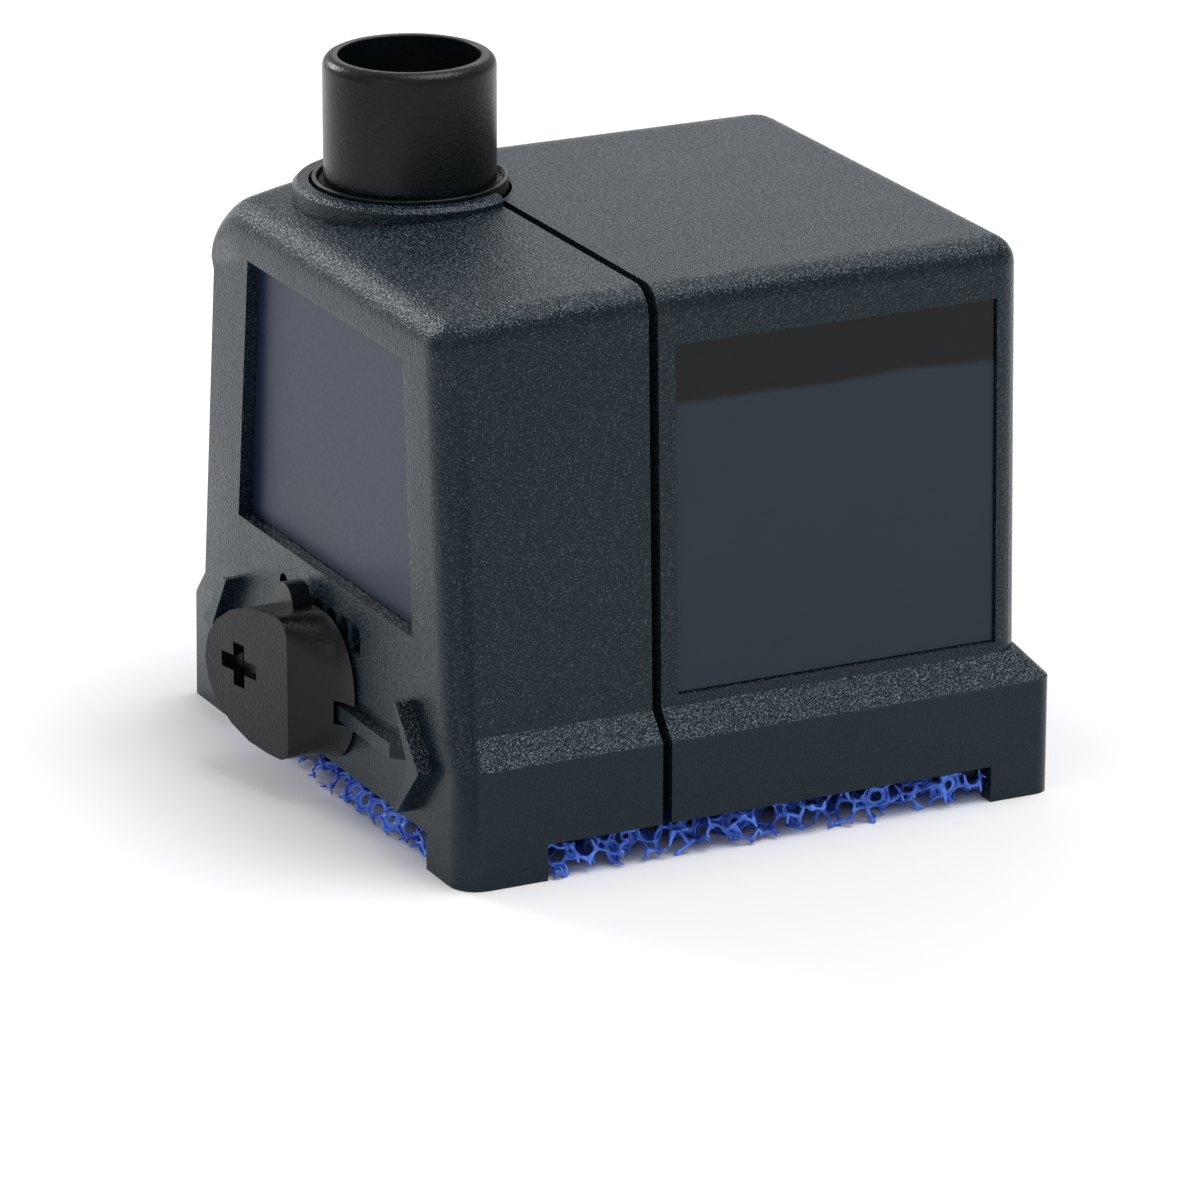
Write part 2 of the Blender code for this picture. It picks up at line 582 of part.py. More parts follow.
slider_rings = [slider_ring(part) for part in spread(0.0, 1.0, SLOPE_STEPS + 1)]
slider = loft("regulator_slider", slider_rings, black_slider, 35.0)
finger = arc((FINGER_TOP_Z - FINGER_R, FINGER_X), FINGER_R, -90, 90)
finger = [(REGULATOR_Z, FINGER_X - FINGER_R)] + finger + [(REGULATOR_Z, FINGER_X + FINGER_R)]
combine(slider, prism("detent_finger", finger, "Y", FRONT_Y - FINGER_PROUD, back_y - 0.1 * MM), "UNION")
cross_y = pad_front(CROSS_X)
pad_turn = (0.0, 0.0, math.atan(PAD_RISE))
cross_z = REGULATOR_Z + CROSS_RAISE
for name, half_x, half_z, depth in (("cross_across", CROSS_ARM[0], CROSS_W[1] / 2, CROSS_DEPTH),
                                    ("cross_upright", CROSS_W[0] / 2, CROSS_ARM[1], CROSS_DEPTH + 0.1 * MM)):
    x = (CROSS_X - half_x, CROSS_X + half_x)
    z = (cross_z - half_z, cross_z + half_z)
    combine(slider, box(name, x, (cross_y - depth, cross_y + depth), z, turn=pad_turn))
groove_z = (rib_z[0] - 0.5 * MM, rib_z[1] + 0.5 * MM)
groove_x = (rib_x[0] - REGULATOR_TRAVEL[1] - 1.0 * MM, REGULATOR_X[1] + 1.0 * MM)
combine(slider, box("rib_groove", groove_x, (FRONT_Y - RIB_PROUD - 0.4 * MM, FRONT_Y), groove_z))
gate_y = FRONT_INNER_Y + 0.4 * MM
stem = box("regulator_stem", (STEM_X - STEM_W / 2, STEM_X + STEM_W / 2), (back_y - 1.0 * MM, gate_y - 0.1 * MM),
           (REGULATOR_Z - STEM_H / 2, REGULATOR_Z + STEM_H / 2))
combine(slider, stem, "UNION")
gate_x = (-GATE_HALF_W * 2 - 4.5 * MM, -4.5 * MM)
gate_z = (GRILLE_TOP + FIT_GAP, AXIS_Z + EYE_R)
box("regulator_gate", gate_x, (gate_y, gate_y + GATE_T), gate_z, grey_plastic)

# Base: foam pad, grille and the motor's cushions
inner_w = BASE_HALF_W - WALL - LIP_CLEARANCE - LIP_T - FOAM_CLEARANCE
inner_front = FRONT_INNER_Y + FOAM_CLEARANCE
inner_back = REAR_WALL_Y - WALL - FOAM_CLEARANCE
face_w = BASE_HALF_W - FOAM_FACE_IN
face_y = (FRONT_Y + FOAM_FACE_IN, BACK_Y - FOAM_FACE_IN)
side_y = (FRONT_Y + FRONT_FOOT_D + FOAM_CLEARANCE, BACK_Y - REAR_FOOT_D - FOAM_CLEARANCE)
front_x = foot_x - FOAM_CLEARANCE
low_z = (FOAM_FLOOR_GAP, FOOT_GAP_H - FOAM_CLEARANCE)
foam = box("filter_foam", (-inner_w, inner_w), (inner_front, inner_back), (FOAM_FLOOR_GAP, FOAM_H), foam_blue)
combine(foam, box("foam_sides", (-face_w, face_w), side_y, low_z), "UNION")
combine(foam, box("foam_ends", (-front_x, front_x), face_y, low_z), "UNION")
grille_z = (FOAM_H + FOAM_CLEARANCE, GRILLE_TOP)
grille = box("base_grille", (-inner_w, inner_w), (inner_front, inner_back), grille_z, grey_plastic)
pitch = 2 * inner_w / (GRILLE_BARS + 1)
for k in range(GRILLE_BARS):
    x = -inner_w + pitch * (k + 1)
    for label, y in (("front", (inner_front + GRILLE_RIM, MIDDLE_Y - GRILLE_BAR / 2)),
                     ("rear", (MIDDLE_Y + GRILLE_BAR / 2, inner_back - GRILLE_RIM))):
        name = "grille_slot_" + label + str(k + 1)
        combine(grille, box(name, (x - GRILLE_SLOT_W / 2, x + GRILLE_SLOT_W / 2), y, (0.0, CASE_FOOT)))

# Motor case, open at the back until its end plate closes it
case_half_w = (PUMP_W - CASE_CLEARANCE) * SCALE - 1.0 * MM
case_front = max(SEAM_Y + CASE_FROM_SEAM, NOZZLE_Y + FLANGE_R + CASE_FROM_OUTLET)
case_y = (case_front, REAR_WALL_Y - WALL - 3.2 * MM)
case_z = (CASE_FOOT, CASE_TOP)
motor_case = box("motor_case", (-case_half_w, case_half_w), case_y, case_z, grey_plastic, 0.6 * MM)
cavity = box("case_cavity", (CASE_WALL - case_half_w, case_half_w - CASE_WALL),
             (case_y[0] + CASE_WALL, case_y[1] + CASE_WALL), (case_z[0] + CASE_WALL, case_z[1] - CASE_WALL))
combine(motor_case, cavity)
axis = (0.0, 0.0, AXIS_Z)
can_in = (MAGNET_R + CAN_GAP) * SCALE
can_out = can_in + CAN_WALL
combine(motor_case, cylinder("case_can_hole", can_out + FIT_GAP, axis, "Y", case_y[0] - WALL, case_y[0] + 2 * WALL))
for side, label in ((-1, "left"), (1, "right")):
    middle = side * case_half_w * 0.6
    box("motor_cushion_" + label, (middle - CUSHION_W / 2, middle + CUSHION_W / 2),
        (case_y[0] + 3.0 * MM, case_y[1] - 3.0 * MM), (GRILLE_TOP + 0.05 * MM, CASE_FOOT - 0.05 * MM), rubber_black)
plate_y = (case_y[1] + 0.1 * MM, case_y[1] + 0.1 * MM + CASE_WALL)
end_plate = box("motor_end_plate", (-case_half_w, case_half_w), plate_y, case_z, grey_plastic)
gland_at = (GLAND_X * SCALE, 0.0, GLAND_Z)
combine(end_plate, cylinder("plate_cable_hole", GLAND_R * 0.6, gland_at, "Y", case_y[1], plate_y[1] + WALL))
gland_y = (plate_y[1] + 0.1 * MM, REAR_WALL_Y + 1.6 * MM)
profile = [(GLAND_R * 0.6, gland_y[0]), (GLAND_R, gland_y[0]), (GLAND_R, gland_y[1] - 0.6 * MM),
           (GLAND_R - 0.6 * MM, gland_y[1]), (GLAND_R * 0.6, gland_y[1])]
turned("cable_gland", profile, gland_at, "Y", rubber_black, ring=True)
combine(rear_cover, cylinder("gland_opening", GLAND_R + 0.5 * MM, gland_at, "Y", REAR_WALL_Y - 2 * WALL, FAR))

# Rotor can, its flange closing the back of the pump chamber
coil_front = case_y[0] + CASE_WALL + FIT_GAP
coil_out = 2 * FIT_GAP + BOBBIN_WALL + COIL_T
core_y = (coil_front + coil_out * SCALE, coil_front + (coil_out + CORE_T) * SCALE)
core_mid = (core_y[0] + core_y[1]) / 2
magnet_y = (core_mid - MAGNET_L * SCALE / 2, core_mid + MAGNET_L * SCALE / 2)
bush_back_y = (magnet_y[1] + FIT_GAP, magnet_y[1] + FIT_GAP + REAR_BUSH_T)
can_end = bush_back_y[1] + 0.05 * MM + CAN_WALL
flange_y = (CHAMBER_Y[1] + 0.1 * MM, CHAMBER_Y[1] + 0.1 * MM + CAN_WALL)
flange_r = can_out + CAN_FLANGE_W
profile = [(can_in, can_end - CAN_WALL), (can_in, flange_y[0]), (flange_r, flange_y[0]), (flange_r, flange_y[1]),
           (can_out, flange_y[1]), (can_out, can_end)]
turned("rotor_can", profile, axis, "Y", grey_plastic)
tube("rear_bush", SHAFT_R + 0.05 * MM, can_in - 0.05 * MM, axis, "Y", bush_back_y[0], bush_back_y[1], rubber_black)

# Pump chamber with its rising outlet duct
chamber_r = CHAMBER_R * SCALE
chamber_at = (CHAMBER_X * SCALE, 0.0, AXIS_Z)
bore_r = chamber_r - CHAMBER_WALL
chamber = cylinder("pump_chamber", chamber_r, chamber_at, "Y", CHAMBER_Y[0], CHAMBER_Y[1], grey_plastic)
socket_r = SPIGOT_R + SOCKET_CLEARANCE
socket_z = (CASING_H - COLLAR_FOOT - SPIGOT_LENGTH, CASING_H - COLLAR_FOOT - 0.4 * MM)
duct_r = DUCT_BORE_R + SOCKET_WALL
socket = cylinder("outlet_socket", socket_r + SOCKET_WALL, outlet, "Z", socket_z[0] - CHAMBER_WALL, socket_z[1])
combine(chamber, cylinder("outlet_duct", duct_r, outlet, "Z", AXIS_Z, socket_z[0]), "UNION")
combine(chamber, socket, "UNION")
lugs = []
for k, turn in enumerate(SCREW_TURNS):
    reach = chamber_r + SCREW_HEAD_R * 0.6
    at = (chamber_at[0] + reach * math.sin(turn), 0.0, AXIS_Z + reach * math.cos(turn))
    lugs.append(at)
    name = "screw_lug_" + str(k + 1)
    combine(chamber, cylinder(name, LUG_R, at, "Y", CHAMBER_Y[0], CHAMBER_Y[0] + LUG_DEPTH, sides=24), "UNION")
combine(chamber, cylinder("chamber_bore", bore_r, chamber_at, "Y", CHAMBER_Y[0] - WALL, CHAMBER_Y[1] - CHAMBER_WALL))
combine(chamber, cylinder("duct_bore", DUCT_BORE_R, outlet, "Z", AXIS_Z + 1.0 * MM, socket_z[0] + WALL))
combine(chamber, cylinder("socket_bore", socket_r, outlet, "Z", socket_z[0], CASING_H))
combine(chamber, cylinder("rotor_entry", can_in, axis, "Y", CHAMBER_Y[1] - 2 * WALL, CHAMBER_Y[1] + WALL))

# Chamber cover with the intake eye, its seal, its bush and its screws
seal_y = (CHAMBER_Y[0] - SEAL_T - 0.05 * MM, CHAMBER_Y[0] - 0.05 * MM)
tube("chamber_seal", bore_r + FIT_GAP, chamber_r - FIT_GAP, chamber_at, "Y", seal_y[0], seal_y[1], rubber_black)
cover_y = (seal_y[0] - 0.05 * MM - COVER_T, seal_y[0] - 0.05 * MM)
eye_y = (cover_y[0] - WALL, cover_y[1] + WALL)
cover = cylinder("chamber_cover", chamber_r, chamber_at, "Y", cover_y[0], cover_y[1], grey_plastic)
for k, at in enumerate(lugs):
    name = "cover_lug_" + str(k + 1)
    combine(cover, cylinder(name, LUG_R, at, "Y", cover_y[0], cover_y[1], sides=24), "UNION")
combine(cover, cylinder("intake_eye", EYE_R * SCALE, axis, "Y", eye_y[0], eye_y[1]))
arm_r = EYE_R * SCALE + 0.8 * MM
arm_z = (AXIS_Z - EYE_ARM_W / 2, AXIS_Z + EYE_ARM_W / 2)
combine(cover, box("eye_arm_across", (-arm_r, arm_r), cover_y, arm_z), "UNION")
arm_x = (-EYE_ARM_W / 2, EYE_ARM_W / 2)
combine(cover, box("eye_arm_upright", arm_x, cover_y, (AXIS_Z - arm_r, AXIS_Z + arm_r)), "UNION")
combine(cover, cylinder("eye_hub", EYE_HUB_R, axis, "Y", cover_y[0], cover_y[1]), "UNION")
bush_r = SHAFT_R + BUSH_WALL
combine(cover, cylinder("eye_bush_seat", bush_r + 0.05 * MM, axis, "Y", eye_y[0], eye_y[1]))
tube("front_bush", SHAFT_R + 0.05 * MM, bush_r, axis, "Y", cover_y[0] + 0.2 * MM, cover_y[1], rubber_black)
for k, at in enumerate(lugs):
    label = str(k + 1)
    tip = cover_y[1] + SEAL_T + LUG_DEPTH * 0.7
    hole = cylinder("screw_hole_" + label, SCREW_R + 0.1 * MM, at, "Y", eye_y[0], tip + 0.2 * MM, sides=24)
    combine(cover, hole)
    combine(chamber, hole)
    head = cover_y[0] - 0.05 * MM
    profile = [(SCREW_HEAD_R - 0.3 * MM, head - SCREW_HEAD_H), (SCREW_HEAD_R, head - SCREW_HEAD_H + 0.3 * MM),
               (SCREW_HEAD_R, head), (SCREW_R, head), (SCREW_R, tip)]
    screw = turned("cover_screw_" + label, profile, at, "Y", screw_steel, sides=24)
    slot_half = SCREW_HEAD_R + 1.0 * MM
    drive = box("screw_drive_" + label, (at[0] - slot_half, at[0] + slot_half),
                (head - 2 * SCREW_HEAD_H, head - SCREW_HEAD_H * 0.5), (at[2] - 0.25 * MM, at[2] + 0.25 * MM))
    combine(screw, drive)

# Shaft, impeller and magnet
shaft_y = (cover_y[0] + 0.4 * MM, bush_back_y[1])
cylinder("rotor_shaft", SHAFT_R, axis, "Y", shaft_y[0], shaft_y[1], shaft_ceramic)
disc_y = (CHAMBER_Y[1] - CHAMBER_WALL - 2.0 * MM, CHAMBER_Y[1] - CHAMBER_WALL - 0.8 * MM)
blade_y = (disc_y[0] - BLADE_H * SCALE, disc_y[0] + 0.4 * MM)
impeller = cylinder("impeller", IMPELLER_R * SCALE, axis, "Y", disc_y[0], disc_y[1], impeller_white)
hub_y = (blade_y[0] - 0.3 * MM, disc_y[0] + 0.6 * MM)
combine(impeller, cylinder("impeller_hub", IMPELLER_HUB_R, axis, "Y", hub_y[0], hub_y[1]), "UNION")
sleeve_y = (disc_y[0] + 0.3 * MM, magnet_y[0] - 0.1 * MM)
combine(impeller, cylinder("impeller_sleeve", IMPELLER_SLEEVE_R, axis, "Y", sleeve_y[0], sleeve_y[1]), "UNION")
for k in range(IMPELLER_BLADES):
    start = 2 * math.pi * k / IMPELLER_BLADES
    edges = ([], [])
    for part in spread(0.0, 1.0, 7):
        radius = IMPELLER_HUB_R * 0.7 + (IMPELLER_R * SCALE * 0.97 - IMPELLER_HUB_R * 0.7) * part
        turn = start + BLADE_SWEEP * part ** 1.3
        for edge, side in zip(edges, (-1, 1)):
            shift = side * BLADE_T / 2 / radius
            edge.append((AXIS_Z + radius * math.cos(turn + shift), radius * math.sin(turn + shift)))
    outline = edges[0] + edges[1][::-1]
    combine(impeller, prism("impeller_blade_" + str(k + 1), outline, "Y", blade_y[0], blade_y[1]), "UNION")
run_r = SHAFT_R + SHAFT_RUN
combine(impeller, cylinder("impeller_bore", run_r, axis, "Y", eye_y[0], magnet_y[1]))
tube("rotor_magnet", run_r, MAGNET_R * SCALE, axis, "Y", magnet_y[0], magnet_y[1], magnet_grey)

# Stator: a laminated core straddling the can, with a coil on each leg
leg_x = (LEG_X[0] * SCALE, LEG_X[1] * SCALE)
core_z = (AXIS_Z - 14.0 * MM * SCALE, AXIS_Z + 26.0 * MM * SCALE)
window_z = (AXIS_Z + CORE_WINDOW_Z * SCALE, core_z[1] - YOKE_H * SCALE)
pole_r = can_out + POLE_GAP
core = box("stator_core", (-leg_x[1], leg_x[1]), core_y, core_z, steel)
past_core = (core_y[0] - WALL, core_y[1] + WALL)
combine(core, box("core_window", (-leg_x[0], leg_x[0]), past_core, window_z))
combine(core, cylinder("core_bore", pole_r, axis, "Y", past_core[0], past_core[1]))
slot = (-POLE_SLOT_W / 2, POLE_SLOT_W / 2)
combine(core, box("pole_slots", slot, past_core, (core_z[0] - WALL, window_z[0] + WALL)))


def leg_block(name, side, grow, z, made=None):
    """A block round one stator leg, standing off it all round by grow."""
    x = sorted((side * (leg_x[0] - grow), side * (leg_x[1] + grow)))
    return box(name, x, (core_y[0] - grow, core_y[1] + grow), z, made)


bobbin_z = (window_z[0] + FIT_GAP, window_z[1] - FIT_GAP)
coil_z = (bobbin_z[0] + BOBBIN_WALL + 0.1 * MM, bobbin_z[1] - BOBBIN_WALL - 0.1 * MM)
waist_z = (coil_z[0] - 0.1 * MM, coil_z[1] + 0.1 * MM)
through_z = (bobbin_z[0] - WALL, bobbin_z[1] + WALL)
spool = FIT_GAP + BOBBIN_WALL
for side, label in ((-1, "left"), (1, "right")):
    bobbin = leg_block("coil_bobbin_" + label, side, spool + COIL_T * SCALE, bobbin_z, grey_plastic)
    waist = leg_block("bobbin_waist_" + label, side, spool + 2 * COIL_T, waist_z)
    combine(waist, leg_block("bobbin_spool_" + label, side, spool, through_z))
    combine(bobbin, waist)
    combine(bobbin, leg_block("bobbin_bore_" + label, side, FIT_GAP, through_z))
    winding = leg_block("winding_" + label, side, spool + (COIL_T - 0.2 * MM) * SCALE, coil_z, copper)
    combine(winding, leg_block("winding_bore_" + label, side, spool + 0.1 * MM, through_z))

# Outlet nozzle and its sealing ring
nozzle_top = CASING_H + NOZZLE_RISE
spigot_end = socket_z[0] + 1.0 * MM
ring_z = spigot_end + RING_ABOVE_END
groove_half = RING_WIRE_R + 0.1 * MM
groove_r = SPIGOT_R - RING_GROOVE
flange_z = (socket_z[1] + 0.5 * MM, CASING_H + COLLAR_RISE + 0.4 * MM)
rim = arc((NOZZLE_R - NOZZLE_RIM_R, nozzle_top - NOZZLE_RIM_R), NOZZLE_RIM_R, 0, 110, 6)
profile = [(SPIGOT_R, spigot_end), (SPIGOT_R, ring_z - groove_half), (groove_r, ring_z - groove_half),
           (groove_r, ring_z + groove_half), (SPIGOT_R, ring_z + groove_half), (SPIGOT_R, flange_z[0]),
           (FLANGE_R, flange_z[0]), (FLANGE_R, flange_z[1]), (FLANGE_R - 0.5 * MM, flange_z[1]),
           (FLANGE_R - 0.7 * MM, flange_z[1] - 0.7 * MM), (NOZZLE_R, flange_z[1] - 1.1 * MM)]
profile += rim
profile += [(NOZZLE_BORE_R, nozzle_top - NOZZLE_RIM_R), (NOZZLE_BORE_R, flange_z[1]),
            (SPIGOT_BORE_R, flange_z[0]), (SPIGOT_BORE_R, spigot_end)]
turned("outlet_nozzle", profile, outlet, "Z", black_nozzle, ring=True, sides=64)
wire = arc((groove_r + 0.1 * MM + RING_WIRE_R, ring_z), RING_WIRE_R, 0, 330, 11)
turned("nozzle_o_ring", wire, outlet, "Z", rubber_black, ring=True, sides=64)

# Moving groups
group("rear_cover_slide", (0.0, REAR_START, AXIS_Z), ["rear_cover", "side_label"])
group("nozzle_slide", (OUTLET_X, NOZZLE_Y, collar_top), ["outlet_nozzle", "nozzle_o_ring"])
group("regulator_slide", (STEM_X, back_y, REGULATOR_Z), ["regulator_slider", "regulator_gate"])
group("rotor_spin", (0.0, core_mid, AXIS_Z), ["impeller", "rotor_magnet"])

print("submersible pump built:", len(parts.objects) - 4, "pieces")
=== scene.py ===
import json
import math

import bpy
import numpy as np
from mathutils import Matrix, Vector


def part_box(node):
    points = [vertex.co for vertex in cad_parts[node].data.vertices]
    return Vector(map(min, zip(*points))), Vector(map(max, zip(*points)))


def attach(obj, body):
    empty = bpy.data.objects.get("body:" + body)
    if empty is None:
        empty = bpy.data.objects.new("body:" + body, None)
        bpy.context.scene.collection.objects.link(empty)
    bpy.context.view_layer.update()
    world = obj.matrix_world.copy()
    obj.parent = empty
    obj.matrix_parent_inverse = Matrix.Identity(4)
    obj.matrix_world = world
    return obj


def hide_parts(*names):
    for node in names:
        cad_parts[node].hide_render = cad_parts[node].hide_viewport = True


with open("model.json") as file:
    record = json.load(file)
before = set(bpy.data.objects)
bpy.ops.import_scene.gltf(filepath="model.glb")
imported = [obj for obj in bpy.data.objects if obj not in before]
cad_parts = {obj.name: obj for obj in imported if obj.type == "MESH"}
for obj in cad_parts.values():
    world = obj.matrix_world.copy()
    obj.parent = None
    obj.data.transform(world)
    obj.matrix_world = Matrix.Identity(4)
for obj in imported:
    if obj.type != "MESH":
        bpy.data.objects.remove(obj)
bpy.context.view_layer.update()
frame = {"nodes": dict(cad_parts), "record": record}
nodes = frame["nodes"]
mm = 0.001
print("frame loaded:", len(nodes), "CAD nodes")


# ---- camera
cameraSetup = {
    "azimuth": 63.573, "elevation": 19.179, "roll": 0.14,   # degrees
    "lens": 222.69, "sensor": 36.0,
    "place": (0.7002, -0.34576, 0.2890),                     # metres
}


def makeCamera(setup):
    turn, rise, roll = (math.radians(setup[k]) for k in ("azimuth", "elevation", "roll"))
    right = Vector((math.cos(turn), math.sin(turn), 0.0))
    back = Vector((math.sin(turn) * math.cos(rise), -math.cos(turn) * math.cos(rise), math.sin(rise)))
    up = back.cross(right)
    leanRight = right * math.cos(roll) + up * math.sin(roll)
    leanUp = up * math.cos(roll) - right * math.sin(roll)
    data = bpy.data.cameras.new("pumpCamera")
    data.sensor_width = setup["sensor"]
    data.lens = setup["lens"]
    data.clip_start = 0.01
    data.clip_end = 20.0
    camera = bpy.data.objects.new("pumpCamera", data)
    bpy.context.scene.collection.objects.link(camera)
    spin = Matrix((leanRight, leanUp, back)).transposed().to_4x4()
    camera.matrix_world = Matrix.Translation(setup["place"]) @ spin
    bpy.context.scene.camera = camera


makeCamera(cameraSetup)


# ---- node helpers
def blankMaterial(name, roughness, metallic=0.0, specular=0.5):
    made = bpy.data.materials.new(name)
    made.use_nodes = True
    tree = made.node_tree
    shader = tree.nodes["Principled BSDF"]
    shader.inputs["Roughness"].default_value = roughness
    shader.inputs["Metallic"].default_value = metallic
    shader.inputs["Specular IOR Level"].default_value = specular
    return made, tree, shader


def addNode(tree, kind, sockets=None, **settings):
    made = tree.nodes.new(kind)
    for key, value in settings.items():
        setattr(made, key, value)
    for key, value in (sockets or {}).items():
        if isinstance(value, bpy.types.NodeSocket):
            tree.links.new(value, made.inputs[key])
        else:
            made.inputs[key].default_value = value
    return made


def objectPoint(tree):
    return addNode(tree, "ShaderNodeTexCoord").outputs["Object"]


def noise(tree, point, grain, detail=2.0, rough=0.55):
    # grain is the size of one lump in metres
    made = addNode(tree, "ShaderNodeTexNoise", {"Vector": point, "Scale": 1.0 / grain, "Detail": detail,
                                                "Roughness": rough})
    return made.outputs["Fac"]


def ranged(tree, value, low, high, outLow, outHigh, kind="LINEAR"):
    made = addNode(tree, "ShaderNodeMapRange", {"Value": value, "From Min": low, "From Max": high,
                                                "To Min": outLow, "To Max": outHigh}, interpolation_type=kind)
    return made.outputs["Result"]


def sums(tree, operation, a, b):
    made = addNode(tree, "ShaderNodeMath", {0: a, 1: b}, operation=operation)
    return made.outputs[0]


def tinted(tree, amount, dark, light):
    made = addNode(tree, "ShaderNodeMix", {"Factor": amount}, data_type="RGBA")
    made.inputs[6].default_value = (*dark, 1.0)
    made.inputs[7].default_value = (*light, 1.0)
    return made.outputs[2]


def bumped(tree, shader, height, depth):
    made = addNode(tree, "ShaderNodeBump", {"Height": height, "Distance": depth, "Strength": 1.0})
    tree.links.new(made.outputs["Normal"], shader.inputs["Normal"])


# ---- casing plastic: a moulded grain with pale glint specks painted into its colour, both strongest where faces look up and faintest on the skirt
casingFinish = {
    # the pale speck colour on the next line is a painted glint on the grain, not a colour of the plastic
    "dark": (0.0016, 0.0078, 0.0132), "light": (0.0030, 0.0104, 0.0165), "paintedGlint": (0.15, 0.17, 0.20), "upGrainAndGlint": 1.0,
    "roughness": (0.22, 0.30), "specular": 0.27, "specularTint": (0.86, 0.96, 1.0),
    "grain": 0.36 * mm, "fineGrain": 0.20 * mm, "grainDepth": 0.22 * mm,
    "skirtGrainAndGlint": 0.22, "wallGrainAndGlint": 0.48, "skirtTop": 13.3 * mm, "skirtBlend": 0.2 * mm,
    "lumpShare": (0.75, 0.45), "upFrom": 0.25, "upFull": 0.65,      # upFrom, upFull: upward part of the normal
    "paintedGlintFrom": 0.56, "paintedGlintFull": 0.70, "paintedGlintPower": 1.6, "cloud": 9.0 * mm,
}


def casingPlastic(name, finish):
    made, tree, shader = blankMaterial(name, 0.42, specular=finish["specular"])
    shader.inputs["Specular Tint"].default_value = (*finish["specularTint"], 1.0)
    point = objectPoint(tree)
    height = addNode(tree, "ShaderNodeSeparateXYZ", {0: point}).outputs["Z"]
    grain = noise(tree, point, finish["grain"], 1.0, 0.5)
    fine = noise(tree, point, finish["fineGrain"], 1.0, 0.5)
    coarseShare, fineShare = finish["lumpShare"]
    lumps = sums(tree, "ADD", sums(tree, "MULTIPLY", grain, coarseShare), sums(tree, "MULTIPLY", fine, fineShare))
    strength = ranged(tree, height, finish["skirtTop"] - finish["skirtBlend"],
                      finish["skirtTop"] + finish["skirtBlend"], finish["skirtGrainAndGlint"], finish["wallGrainAndGlint"])
    # faces that look up, like the ledge, get a deeper bump grain and more painted glint specks, as if lit from above
    facing = addNode(tree, "ShaderNodeTexCoord").outputs["Normal"]
    upward = addNode(tree, "ShaderNodeSeparateXYZ", {0: facing}).outputs["Z"]
    lifted = ranged(tree, upward, finish["upFrom"], finish["upFull"], 0.0, finish["upGrainAndGlint"])
    strength = sums(tree, "MAXIMUM", strength, lifted)
    bumped(tree, shader, sums(tree, "MULTIPLY", lumps, strength), finish["grainDepth"])
    clouds = noise(tree, point, finish["cloud"], 3.0)
    color = tinted(tree, clouds, finish["dark"], finish["light"])
    # painted glints: pale specks in the base colour where the fine grain peaks, brighter where the grain strength is
    # higher
    paintedGlint = sums(tree, "MULTIPLY", ranged(tree, fine, finish["paintedGlintFrom"], finish["paintedGlintFull"], 0.0, 1.0),
                 sums(tree, "POWER", strength, finish["paintedGlintPower"]))
    withPaintedGlints = addNode(tree, "ShaderNodeMix", {"Factor": paintedGlint, 6: color}, data_type="RGBA")
    withPaintedGlints.inputs[7].default_value = (*finish["paintedGlint"], 1.0)
    tree.links.new(withPaintedGlints.outputs[2], shader.inputs["Base Color"])
    rough = sums(tree, "ADD", ranged(tree, clouds, 0.3, 0.7, *finish["roughness"]),
                 ranged(tree, grain, 0.35, 0.65, 0.05, -0.07))
    tree.links.new(rough, shader.inputs["Roughness"])
    return made


def satinPlastic(name, dark, light, roughness, grain=0.3 * mm, depth=0.012 * mm, specular=0.5):
    made, tree, shader = blankMaterial(name, roughness, specular=specular)
    point = objectPoint(tree)
    fine = noise(tree, point, grain, 2.0, 0.6)
    clouds = noise(tree, point, 6.0 * mm, 3.0)
    bumped(tree, shader, fine, depth)
    tree.links.new(tinted(tree, clouds, dark, light), shader.inputs["Base Color"])
    tree.links.new(ranged(tree, sums(tree, "ADD", clouds, sums(tree, "MULTIPLY", fine, 0.5)), 0.5, 1.0,
                          roughness - 0.06, roughness + 0.08), shader.inputs["Roughness"])
    return made


labelFinish = {
    "frontDark": (0.006, 0.014, 0.040), "frontLight": (0.009, 0.018, 0.047), "specular": 0.24,
    "sideDark": (0.010, 0.023, 0.034), "sideLight": (0.014, 0.028, 0.040), "band": (0.0008, 0.0016, 0.0020),
    "bandDepth": 6.3 * mm, "bandSoft": 0.9 * mm,
}


def labelPlastic(name, dark, light, roughness, bandFrom=None):
    made, tree, shader = blankMaterial(name, roughness, specular=labelFinish["specular"])
    point = objectPoint(tree)
    clouds = noise(tree, point, 12.0 * mm, 3.0)
    fine = noise(tree, point, 0.35 * mm, 2.0)
    color = tinted(tree, clouds, dark, light)
    bumped(tree, shader, fine, 0.004 * mm)
    if bandFrom is not None:
        height = addNode(tree, "ShaderNodeSeparateXYZ", {0: point}).outputs["Z"]
        wave = sums(tree, "MULTIPLY", noise(tree, point, 14.0 * mm, 2.0), 1.6 * mm)
        edge = sums(tree, "ADD", height, wave)
        band = ranged(tree, edge, bandFrom, bandFrom + labelFinish["bandSoft"], 0.0, 1.0, "SMOOTHSTEP")
        mixed = addNode(tree, "ShaderNodeMix", {"Factor": band, 6: color}, data_type="RGBA")
        mixed.inputs[7].default_value = (*labelFinish["band"], 1.0)
        color = mixed.outputs[2]
    tree.links.new(color, shader.inputs["Base Color"])
    tree.links.new(ranged(tree, fine, 0.3, 0.7, roughness - 0.04, roughness + 0.05), shader.inputs["Roughness"])
    return made


foamFinish = {"dark": (0.020, 0.045, 0.45), "light": (0.11, 0.30, 0.98), "roughness": 0.2}


def foamPlastic(name, finish):
    made, tree, shader = blankMaterial(name, finish["roughness"])
    point = objectPoint(tree)
    clouds = noise(tree, point, 2.2 * mm, 2.0)
    fine = noise(tree, point, 0.25 * mm, 2.0)
    tree.links.new(tinted(tree, ranged(tree, clouds, 0.3, 0.7, 0.0, 1.0), finish["dark"], finish["light"]),
                   shader.inputs["Base Color"])
    bumped(tree, shader, fine, 0.03 * mm)
    tree.links.new(ranged(tree, fine, 0.3, 0.7, 0.16, 0.36), shader.inputs["Roughness"])
    return made


